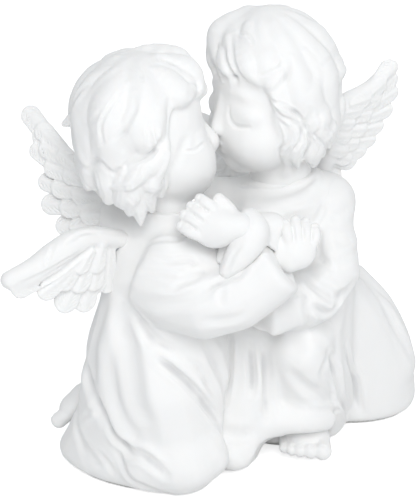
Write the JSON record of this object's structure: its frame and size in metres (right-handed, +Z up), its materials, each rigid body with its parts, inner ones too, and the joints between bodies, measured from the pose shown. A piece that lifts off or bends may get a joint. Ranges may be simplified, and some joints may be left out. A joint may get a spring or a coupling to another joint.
{
  "type": "figurine",
  "caption": "White resin figurine: a kneeling and a rising child angel in gowns, with feather wings, embrace and kiss; it stands on felt.",
  "frame": {"origin": "middle of the group's outline, on the plane the figurine stands on", "axes": "+Z up, -Y towards the side on show, +X from the kneeling angel to the rising one"},
  "size_m": [0.1312, 0.0939, 0.1449],
  "materials": {
    "resin": "matte",
    "steel": "satin",
    "felt": "matte"
  },
  "bodies": {
    "root": {"kneeling_body": "resin", "kneeling_head": "resin", "kneeling_wing_near": "resin", "kneeling_wing_far": "resin", "kneeling_arm_near": "resin", "kneeling_hand_near": "resin", "kneeling_arm_far": "resin", "kneeling_hand_far": "resin", "kneeling_foot": "resin", "rising_body": "resin", "rising_head": "resin", "rising_wing_left": "resin", "rising_wing_right": "resin", "rising_arm_left": "resin", "rising_arm_right": "resin", "rising_hand_right": "resin", "rising_foot": "resin", "wing_pins": "steel", "neck_dowels": "steel", "felt_pads": "felt"}
  },
  "joints": []
}
